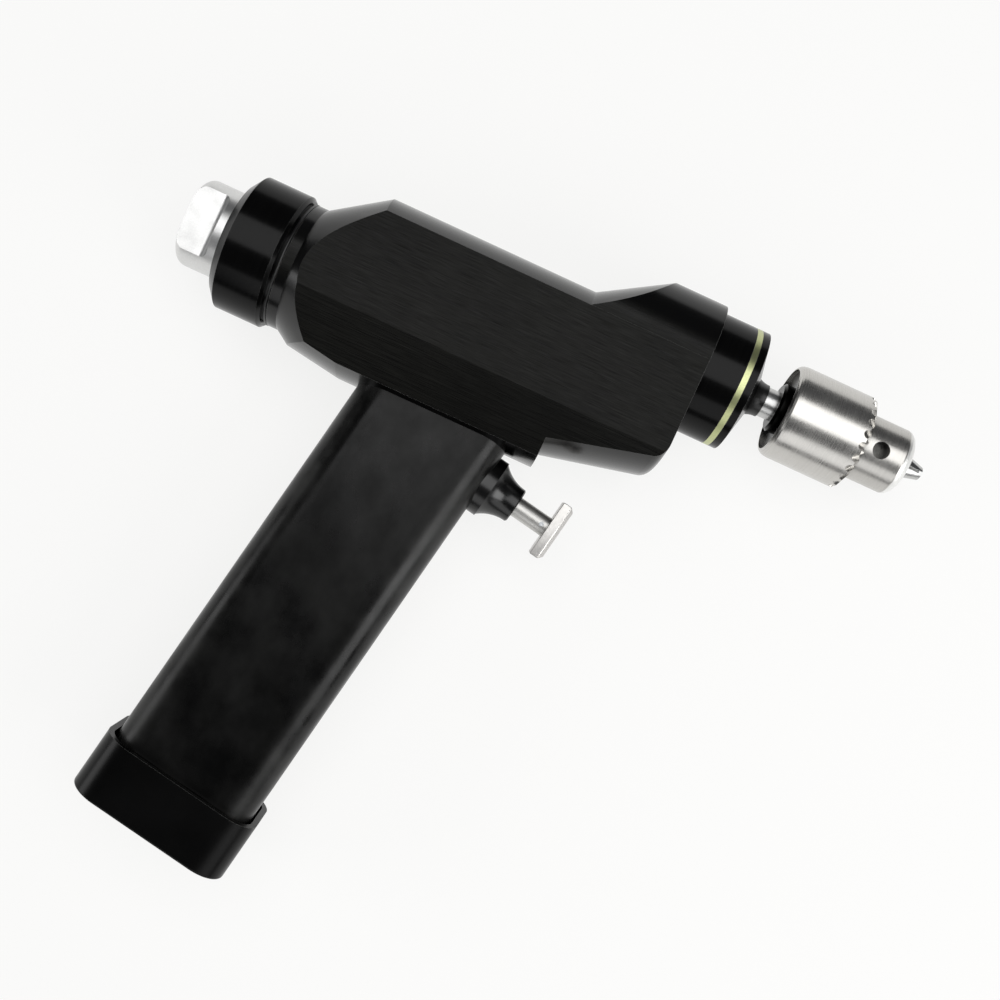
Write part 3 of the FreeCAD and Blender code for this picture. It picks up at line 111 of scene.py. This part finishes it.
# Point looked at, in the drill's frame, and its place in the camera's frame, in millimetres.
LOOK_AT = (-34.3, -22.5, 0)
SEEN_AT = (19.245, -33.42, 378.19)

# Lamps: name, place, point looked at, sides in metres, watts.
LAMPS = (
    ("softbox_overhead", (0, 0.16, 0.64), (0, 0.159, 0), (0.84, 0.56), 3.2),
    ("fill_front", (0.15, -0.62, 0.34), (0, -0.05, 0), (1.0, 0.4), 1.5),
    ("fill_rear", (-0.76, -0.34, 0.26), (-0.1, -0.12, 0), (0.5, 0.3), 1.7),
    ("fill_side", (0.62, -0.22, 0.42), (-0.05, -0.08, 0), (0.4, 0.45), 2.6),
)
ROOM_COLOUR = "#b9bbbe"
ROOM_LIGHT = 0.16


def linear(code):
    """sRGB hex value as linear red, green, blue, alpha."""
    parts = [int(code[i:i + 2], 16) / 255 for i in (1, 3, 5)]
    return [c / 12.92 if c <= 0.04045 else ((c + 0.055) / 1.055) ** 2.4 for c in parts] + [1.0]


def add(tree, kind, settings=None, inputs=None):
    """Add one node with its settings, and feed its inputs with values, hex codes or sockets."""
    node = tree.nodes.new(kind)
    for name, value in (settings or {}).items():
        setattr(node, name, value)
    for name, value in (inputs or {}).items():
        if isinstance(value, bpy.types.NodeSocket):
            tree.links.new(value, node.inputs[name])
        elif isinstance(value, str):
            node.inputs[name].default_value = linear(value)
        else:
            node.inputs[name].default_value = value
    return node


def surface(name):
    """A new material with its node tree and its Principled shader."""
    material = bpy.data.materials.new(name)
    material.use_nodes = True
    return material, material.node_tree, material.node_tree.nodes["Principled BSDF"]


def dress(tree, shader, **values):
    """Set or feed the shader's inputs; an underscore stands for a space."""
    for name, value in values.items():
        socket = shader.inputs[name.replace("_", " ")]
        if isinstance(value, bpy.types.NodeSocket):
            tree.links.new(value, socket)
        else:
            socket.default_value = value


def grain(tree, cell, low=0.0, high=1.0, detail=3.0):
    """Noise whose cells measure cell millimetres in X, Y and Z, spread from low to high."""
    place = add(tree, "ShaderNodeTexCoord").outputs["Object"]
    scaled = add(tree, "ShaderNodeMapping", None, {
        "Vector": place, "Scale": [1 / (side * MM) for side in cell]}).outputs["Vector"]
    noise = add(tree, "ShaderNodeTexNoise", None, {
        "Vector": scaled, "Scale": 1.0, "Detail": detail, "Roughness": 0.55}).outputs["Fac"]
    return add(tree, "ShaderNodeMapRange", None, {
        "Value": noise, "From Min": NOISE_SPAN[0], "From Max": NOISE_SPAN[1],
        "To Min": low, "To Max": high}).outputs["Result"]


def sharp_edges(tree, radius, strength):
    """Rises along machined edges, for a painted highlight and the wear of a thin finish: bevelled
    against true normal.
    """
    soft = add(tree, "ShaderNodeBevel", {"samples": 6}, {"Radius": radius * MM}).outputs["Normal"]
    true = add(tree, "ShaderNodeNewGeometry").outputs["Normal"]
    turn = add(tree, "ShaderNodeVectorMath", {"operation": "DISTANCE"}, {0: soft, 1: true})
    return add(tree, "ShaderNodeMapRange", None, {
        "Value": turn.outputs["Value"], "From Min": EDGE_TURN[0], "From Max": EDGE_TURN[1],
        "To Min": 0.0, "To Max": strength}).outputs["Result"]


def recess(tree, reach, low, high, strength):
    """Rises in holes, gullets and grooves that walls nearer than reach millimetres hem in; it
    masks painted shade.
    """
    open_sky = add(tree, "ShaderNodeAmbientOcclusion", {"samples": 8}, {
        "Distance": reach * MM}).outputs["AO"]
    return add(tree, "ShaderNodeMapRange", None, {
        "Value": open_sky, "From Min": low, "From Max": high,
        "To Min": strength, "To Max": 0.0}).outputs["Result"]


def past(tree, station, width):
    """Rises from zero to one along X over width millimetres that start at a station."""
    place = add(tree, "ShaderNodeTexCoord").outputs["Object"]
    along = add(tree, "ShaderNodeSeparateXYZ", None, {"Vector": place}).outputs["X"]
    return add(tree, "ShaderNodeMapRange", None, {
        "Value": along, "From Min": station * MM,
        "From Max": (station + width) * MM}).outputs["Result"]


def facing_up(tree, low, high):
    """One on faces whose normal points along Z, up or down, and zero on the round stock."""
    normal = add(tree, "ShaderNodeTexCoord").outputs["Normal"]
    height = add(tree, "ShaderNodeSeparateXYZ", None, {"Vector": normal}).outputs["Z"]
    height = add(tree, "ShaderNodeMath", {"operation": "ABSOLUTE"}, {0: height}).outputs[0]
    return add(tree, "ShaderNodeMapRange", None, {
        "Value": height, "From Min": low, "From Max": high}).outputs["Result"]


def paint(material, *names):
    """Give a material to every slot of these CAD nodes."""
    for name in names:
        slots = nodes[name].data.materials
        if not slots:
            slots.append(material)
        for index in range(len(slots)):
            slots[index] = material


def anodised(name, cell, dark, light, rough, edge_light_and_wear):
    """Black anodised aluminium: a clear oxide over a dark dye, so it mirrors like glass."""
    material, tree, shader = surface(name)
    lines = grain(tree, cell, detail=4.0)
    edge = sharp_edges(tree, EDGE_WIDTH, edge_light_and_wear)
    gloss = grain(tree, cell, rough - 0.03, rough + 0.03, 4.0)
    colour_and_painted_light = add(tree, "ShaderNodeMixRGB", None, {
        "Fac": lines, "Color1": dark, "Color2": light}).outputs[0]
    # Painted highlight along sharp edges, in the colour of bare aluminium worn through the oxide.
    colour_and_painted_light = add(tree, "ShaderNodeMixRGB", None, {
        "Fac": edge, "Color1": colour_and_painted_light, "Color2": EDGE_HIGHLIGHT_AND_WEAR}).outputs[0]
    # Painted shade: grooves hemmed in by near walls are darkened.
    colour_and_painted_light = add(tree, "ShaderNodeMixRGB", None, {
        "Fac": recess(tree, *GROOVE), "Color1": colour_and_painted_light, "Color2": GROOVE_SHADE_COLOUR}).outputs[0]
    normal = add(tree, "ShaderNodeBump", None, {
        "Height": lines, "Distance": 0.004 * MM, "Strength": RELIEF}).outputs[0]
    dress(tree, shader, Base_Color=colour_and_painted_light, Roughness=gloss, IOR=1.24, Normal=normal)
    return material


def anodised_casing():
    """The casing: its milled flats are brushed lengthways, its round stock is smooth black."""
    material, tree, shader = surface("anodised_aluminium_milled")
    flat = facing_up(tree, 0.93, 0.998)
    lines = grain(tree, BRUSH_LINES, detail=5.0)
    streaks = grain(tree, STREAKS, detail=4.0)
    clouds = grain(tree, CLOUDS, 0.0, 0.6)
    brushed = add(tree, "ShaderNodeMixRGB", None, {
        "Fac": lines, "Color1": "#020202", "Color2": "#1c1c19"}).outputs[0]
    brushed = add(tree, "ShaderNodeMixRGB", None, {
        "Fac": clouds, "Color1": brushed, "Color2": "#040403"}).outputs[0]
    shine = add(tree, "ShaderNodeMix", None, {
        0: flat, 2: 0.5, 3: grain(tree, SHINE_LINES, 0.05, 0.2, 5.0)}).outputs[0]
    colour_and_painted_light = add(tree, "ShaderNodeMixRGB", None, {
        "Fac": flat, "Color1": "#030303", "Color2": brushed}).outputs[0]
    # Painted highlight along sharp edges, in the colour of bare aluminium worn through the oxide.
    colour_and_painted_light = add(tree, "ShaderNodeMixRGB", None, {
        "Fac": sharp_edges(tree, EDGE_WIDTH, 0.3), "Color1": colour_and_painted_light, "Color2": EDGE_HIGHLIGHT_AND_WEAR}).outputs[0]
    # Painted shade: grooves hemmed in by near walls are darkened.
    colour_and_painted_light = add(tree, "ShaderNodeMixRGB", None, {
        "Fac": recess(tree, *GROOVE), "Color1": colour_and_painted_light, "Color2": GROOVE_SHADE_COLOUR}).outputs[0]
    gloss = add(tree, "ShaderNodeMix", None, {
        0: streaks, 2: 0.3, 3: grain(tree, BRUSH_LINES, 0.24, 0.4, 5.0)}).outputs[0]
    gloss = add(tree, "ShaderNodeMix", None, {0: flat, 2: 0.18, 3: gloss}).outputs[0]
    normal = add(tree, "ShaderNodeBump", None, {
        "Height": lines, "Distance": 0.003 * MM, "Strength": RELIEF}).outputs[0]
    dress(tree, shader, Base_Color=colour_and_painted_light, Roughness=gloss, IOR=1.4, Specular_IOR_Level=shine,
          Normal=normal)
    return material


def handled_black():
    """The grip's black finish, satin from handling; cloudy smudges let a painted sheen show on its
    round faces, and its edges carry a painted highlight.
    """
    material, tree, shader = surface("anodised_aluminium_handled")
    smudge_and_sheen = grain(tree, SMUDGES, detail=5.0)
    fine = grain(tree, (0.5, 9, 0.5))
    edge = sharp_edges(tree, 0.25, 0.2)
    flat = facing_up(tree, 0.9, 0.999)
    # Painted sheen: round faces are lighter than the flats that face straight up or down.
    sheen_on_rounds = add(tree, "ShaderNodeMixRGB", None, {
        "Fac": flat, "Color1": "#2b2b2a", "Color2": "#0a0a09"}).outputs[0]
    # Smudges from handling, which let the painted sheen of the round faces show in clouds.
    colour_and_painted_light = add(tree, "ShaderNodeMixRGB", None, {
        "Fac": smudge_and_sheen, "Color1": "#040404", "Color2": sheen_on_rounds}).outputs[0]
    # Painted highlight along the grip's sharp edges.
    colour_and_painted_light = add(tree, "ShaderNodeMixRGB", None, {
        "Fac": edge, "Color1": colour_and_painted_light, "Color2": "#8d8d8b"}).outputs[0]
    normal = add(tree, "ShaderNodeBump", None, {
        "Height": fine, "Distance": 0.003 * MM, "Strength": RELIEF}).outputs[0]
    dress(tree, shader, Base_Color=colour_and_painted_light, IOR=1.4, Normal=normal,
          Roughness=grain(tree, SMUDGES, 0.2, 0.42, 5.0),
          Specular_IOR_Level=grain(tree, SMUDGE_SHINE, 0.2, 0.4, 4.0))
    return material


def turned_steel(name, dark, light, rough, pitch, reach=5.0, nose=None, heel=None):
    """Stainless steel turned round the spindle axis, its lines pitch millimetres apart.

    Holes and gullets are darkened with painted shade. Ahead of the nose station the metal is
    blasted pale, and behind the heel station it is painted dark as shade.
    """
    material, tree, shader = surface(name)
    rings = grain(tree, (pitch, 70, 70), detail=2.0)
    stains = grain(tree, (6, 6, 6), -0.02, 0.03)
    gloss = grain(tree, (pitch, 70, 70), rough - 0.03, rough + 0.04, 2.0)
    gloss = add(tree, "ShaderNodeMath", {"operation": "ADD"}, {0: gloss, 1: stains}).outputs[0]
    metal = add(tree, "ShaderNodeMixRGB", None, {
        "Fac": rings, "Color1": dark, "Color2": light}).outputs[0]
    if nose is not None:
        pale = past(tree, nose, FINISH_STEP)
        metal = add(tree, "ShaderNodeMixRGB", None, {
            "Fac": pale, "Color1": metal, "Color2": "#f4f4f2"}).outputs[0]
        gloss = add(tree, "ShaderNodeMix", None, {0: pale, 2: gloss, 3: 0.5}).outputs[0]
    # Painted shade: behind the heel station the metal is darkened.
    if heel is not None:
        metal = add(tree, "ShaderNodeMixRGB", None, {
            "Fac": past(tree, heel, FINISH_STEP), "Color1": "#1c1c1b", "Color2": metal}).outputs[0]
    # Painted shade: holes and gullets hemmed in by near walls are darkened.
    hollow_shade = recess(tree, reach, 0.3, 0.8, 0.94)
    metal = add(tree, "ShaderNodeMixRGB", None, {
        "Fac": hollow_shade, "Color1": metal, "Color2": "#0c0c0b"}).outputs[0]
    normal = add(tree, "ShaderNodeBump", None, {
        "Height": rings, "Distance": 0.001 * MM, "Strength": RELIEF}).outputs[0]
    dress(tree, shader, Base_Color=metal, Metallic=1.0, Roughness=gloss, Normal=normal)
    return material


def plain_metal(name, dark, light, rough, grit=0.4):
    """Bare metal with a fine blasted or drawn surface."""
    material, tree, shader = surface(name)
    fine = grain(tree, (grit, grit, grit))
    colour = add(tree, "ShaderNodeMixRGB", None, {
        "Fac": fine, "Color1": dark, "Color2": light}).outputs[0]
    normal = add(tree, "ShaderNodeBump", None, {
        "Height": fine, "Distance": 0.002 * MM, "Strength": RELIEF}).outputs[0]
    dress(tree, shader, Base_Color=colour, Metallic=1.0, Normal=normal,
          Roughness=grain(tree, (5, 5, 5), rough - GLOSS_DRIFT, rough + GLOSS_DRIFT))
    return material


def polymer(name, dark, light, rough, grit=0.8):
    """Moulded plastic or rubber, film or lacquer, with a fine even surface."""
    material, tree, shader = surface(name)
    fine = grain(tree, (grit, grit, grit))
    colour = add(tree, "ShaderNodeMixRGB", None, {
        "Fac": fine, "Color1": dark, "Color2": light}).outputs[0]
    normal = add(tree, "ShaderNodeBump", None, {
        "Height": fine, "Distance": 0.003 * MM, "Strength": RELIEF}).outputs[0]
    dress(tree, shader, Base_Color=colour, IOR=1.5, Normal=normal,
          Roughness=grain(tree, (4, 4, 4), rough - GLOSS_DRIFT, rough + GLOSS_DRIFT))
    return material


# Black anodised casing, milled flats: soft grey lines run lengthways in a near-black oxide.
paint(anodised_casing(), "housing")
# Turned and anodised: a glassy black with narrow reflections along each round.
paint(anodised("anodised_aluminium_turned", (0.2, 30, 30), "#030303", "#060606",
               rough=0.18, edge_light_and_wear=0.4),
      "rear_cap", "nose_sleeve", "nose_cap")
# The same black worn satin by hands: cloudy patches on the flat, a painted sheen in cloudy smudges
# on its round edges, and a painted highlight along sharp edges.
paint(handled_black(), "grip")
# Blasted before anodising: a satin black without lines, so its faces part by tone alone.
paint(anodised("anodised_aluminium_cup", (20, 20, 20), "#030303", "#060606",
               rough=0.30, edge_light_and_wear=0.2),
      "base_cap")
# Anodised yellow-green and satin: bright where it meets the softbox, olive to both sides.
paint(plain_metal("anodised_aluminium_green", "#b4b989", "#c4c998", rough=0.34),
      "ring_band")
# Blasted aluminium: a near-white knob with soft shading and no sharp mirror image.
paint(plain_metal("satin_aluminium", "#d4d4d3", "#dededd", rough=0.34), "rear_knob")
# Drawn stainless steel: a wide soft light runs along the rod.
paint(plain_metal("satin_stainless", "#bfbebb", "#cbcac7", rough=0.42), "trigger_rod")
# Moulded acetal: deep black with one waxy highlight in the flare.
paint(polymer("acetal_black", "#030303", "#060606", rough=0.24), "trigger_guide")
# Moulded rubber: dark grey and dull, softer than the metal beside it.
paint(polymer("rubber_black", "#070707", "#0e0e0e", rough=0.34),
      "spindle_seal", "cap_oring", "base_gasket")
# Turned and polished steel: light and dark bands lie along the sleeve, with hair-fine rings.
# The rings take the feed of a fine cut, 0.05 mm, and show as a faint grain at this distance.
paint(turned_steel("chuck_steel_polished", "#bcbab6", "#cfcdc9", rough=0.25, pitch=0.05),
      "chuck_sleeve")
# The same steel on the chuck's body, with its blasted pale tip and its heel painted dark as shade.
chuck_heel, chuck_tip = (corner[0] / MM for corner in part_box("chuck_body"))
paint(turned_steel("chuck_steel_turned", "#b4b2ae", "#c9c7c3", rough=0.27, pitch=0.05,
                   nose=chuck_tip - CHUCK_TIP, heel=chuck_heel + CHUCK_HEEL), "chuck_body")
# Ground steel shafts, gears and bearings: a greyer mirror with faint rings.
paint(turned_steel("spindle_steel_ground", "#b8b8b7", "#cacac9", rough=0.3, pitch=0.1,
                   reach=2.0),
      "spindle", "driven_gear", "drive_pinion", "motor_rotor", "split_nut",
      "rear_spindle_bearing", "front_spindle_bearing", "bearing_circlip",
      "motor_bearing_front", "motor_bearing_rear", "knob_latch", "knob_shaft", "knob_screw")
# Hardened and ground: the jaws are a little darker and sharper than the chuck.
paint(plain_metal("jaw_steel_ground", "#b5b5b4", "#c9c9c8", rough=0.22),
      "jaw_1", "jaw_2", "jaw_3")
# Zinc-plated fasteners: a cool grey with a small bright highlight.
paint(plain_metal("fastener_steel", "#8a8c8e", "#b8babc", rough=0.3),
      "grip_screws", "trigger_pin", "trigger_clip", "guide_nut")
# Deep-drawn steel can: a mid grey whose reflections are broad.
paint(plain_metal("can_steel_drawn", "#6f7173", "#8d8f91", rough=0.35),
      "motor_can", "motor_spacer")
# Nickel-plated magnet: a warm grey mirror.
paint(plain_metal("magnet_nickel", "#8f8d88", "#aaa8a2", rough=0.25),
      "trigger_magnet", "motor_magnets")
# Moulded nylon: a matt charcoal that shows its edges by shade.
paint(polymer("nylon_black", "#17181a", "#222325", rough=0.5),
      "motor_end_bell", "battery_holder", "contact_block", "trigger_switch")
# Shrink wrap on the cells: an even, slightly glossy blue.
paint(polymer("cell_wrap_blue", "#26507d", "#2f5f92", rough=0.3), "battery_cells")
# Stamped brass: yellow reflections on small flats.
paint(plain_metal("contact_brass", "#b39a55", "#cdb36a", rough=0.3), "battery_terminals")
# Solder mask on glass fibre: a dark, half-glossy green.
paint(polymer("board_green", "#1d4a2c", "#265a37", rough=0.35), "control_board")


def smooth_curves(angle):
    """Shade curved CAD faces smoothly and keep true edges sharp."""
    for piece in nodes.values():
        piece.data.polygons.foreach_set("use_smooth", [True] * len(piece.data.polygons))
        piece.data.set_sharp_from_angle(angle=math.radians(angle))


smooth_curves(CURVE_ANGLE)


def eased_block(name, body, width, material):
    """A machined block whose long edges are broken by width millimetres, in a node's place."""
    shape = bmesh.new()
    shape.from_mesh(nodes[name].data)
    bmesh.ops.remove_doubles(shape, verts=shape.verts, dist=SAME_POINT * MM)
    bmesh.ops.dissolve_limit(
        shape, angle_limit=math.radians(FLAT_ANGLE), verts=shape.verts, edges=shape.edges)
    rims = [edge for edge in shape.edges
            if edge.is_manifold and edge.calc_length() > EASED_LENGTH * MM
            and edge.calc_face_angle() > math.radians(EASED_TURN)]
    bmesh.ops.bevel(shape, geom=rims, offset=width * MM, offset_type="WIDTH", segments=3,
                    profile=0.5, affect="EDGES", clamp_overlap=True)
    mesh = bpy.data.meshes.new(name + "_eased")
    shape.to_mesh(mesh)
    shape.free()
    mesh.polygons.foreach_set("use_smooth", [True] * len(mesh.polygons))
    mesh.set_sharp_from_angle(angle=math.radians(BAR_ANGLE))
    mesh.materials.append(material)
    piece = bpy.data.objects.new(name + "_eased", mesh)
    bpy.context.collection.objects.link(piece)
    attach(piece, body)
    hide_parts(name)


# Blasted stainless steel: an even pale grey that shades softly over the eased edges.
bar_steel = plain_metal("satin_stainless_bar", "#c9c7c4", "#d2d0cd", rough=0.42, grit=1.2)
eased_block("trigger_bar", "trigger", width=0.5, material=bar_steel)


def pressed_spring(name, body, material):
    """A coil spring copied from its node with its own material, carried by the body in the node's
    place.
    """
    mesh = nodes[name].data.copy()
    mesh.materials.clear()
    mesh.materials.append(material)
    piece = bpy.data.objects.new(name + "_coil", mesh)
    bpy.context.collection.objects.link(piece)
    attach(piece, body)
    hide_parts(name)
    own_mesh(piece)


# Drawn spring wire: small highlights repeat from coil to coil.
spring_steel = plain_metal("spring_steel", "#8a8c8e", "#b8babc", rough=0.3)
pressed_spring("trigger_spring", "trigger",
               material=spring_steel)


def bench():
    """White bench: bright to the camera and in mirrored views, lit and shaded for the rest."""
    mesh = bpy.data.meshes.new("bench_top")
    corners = [(-1, -1), (1, -1), (1, 1), (-1, 1)]
    mesh.from_pydata([(x * BENCH_REACH, y * BENCH_REACH, BENCH) for x, y in corners],
                     [], [(0, 1, 2, 3)])
    piece = bpy.data.objects.new("bench_top", mesh)
    bpy.context.collection.objects.link(piece)
    material, tree, shader = surface("bench_white")
    # Painted board: matt and near white, so that only shadows draw on it.
    dress(tree, shader, Base_Color=linear("#f3f2f1"), Roughness=0.9)
    rays = add(tree, "ShaderNodeLightPath").outputs
    seen = add(tree, "ShaderNodeMath", {"operation": "ADD"}, {
        0: rays["Is Camera Ray"], 1: rays["Is Glossy Ray"]}).outputs[0]
    seen = add(tree, "ShaderNodeMath", {"operation": "ADD"}, {
        0: seen, 1: rays["Is Transmission Ray"]}).outputs[0]
    share = add(tree, "ShaderNodeMath", {"operation": "MULTIPLY"}, {
        0: seen, 1: BENCH_GLOW}).outputs[0]
    glow = add(tree, "ShaderNodeEmission", None, {
        "Color": "#fefefd", "Strength": 1.0}).outputs[0]
    whole = add(tree, "ShaderNodeMixShader", None, {0: share, 1: shader.outputs[0], 2: glow})
    tree.links.new(whole.outputs[0], tree.nodes["Material Output"].inputs["Surface"])
    mesh.materials.append(material)


def camera():
    """A near camera above the drill, turned so that the barrel falls to the right."""
    data = bpy.data.cameras.new("camera")
    piece = bpy.data.objects.new("camera", data)
    bpy.context.collection.objects.link(piece)
    data.sensor_width = SENSOR
    data.lens = SENSOR * FOCAL_SHARE
    data.clip_start = 0.01
    nod = Matrix.Rotation(math.radians(NOD), 3, "X")
    lean = Matrix.Rotation(math.radians(LEAN), 3, "Y")
    turn = Matrix.Rotation(math.radians(TURN), 3, "Z")
    shift = Vector(SEEN_AT) * MM
    view = turn @ lean @ nod @ Matrix(((1, 0, 0), (0, -1, 0), (0, 0, -1)))
    aim = Vector(LOOK_AT) * MM
    right, down, forward = (Vector(row) for row in view)
    basis = Matrix((right, -down, -forward)).transposed()
    piece.matrix_world = Matrix.Translation(aim - view.transposed() @ shift) @ basis.to_4x4()
    bpy.context.scene.camera = piece


def lamp(name, place, aim, size, power):
    """A soft rectangular lamp that looks from one point to another."""
    data = bpy.data.lights.new(name, "AREA")
    data.shape = "RECTANGLE"
    data.size, data.size_y = size
    data.energy = power
    piece = bpy.data.objects.new(name, data)
    bpy.context.collection.objects.link(piece)
    piece.location = place
    piece.rotation_euler = (Vector(aim) - Vector(place)).to_track_quat("-Z", "Y").to_euler()


def studio():
    """Dim room, a wide softbox above the barrel and low fills on three sides."""
    world = bpy.data.worlds.new("studio")
    bpy.context.scene.world = world
    world.use_nodes = True
    room = world.node_tree.nodes["Background"]
    room.inputs["Color"].default_value = linear(ROOM_COLOUR)
    room.inputs["Strength"].default_value = ROOM_LIGHT
    for settings in LAMPS:
        lamp(*settings)


bench()
camera()
studio()
bpy.context.scene.view_settings.view_transform = "Standard"
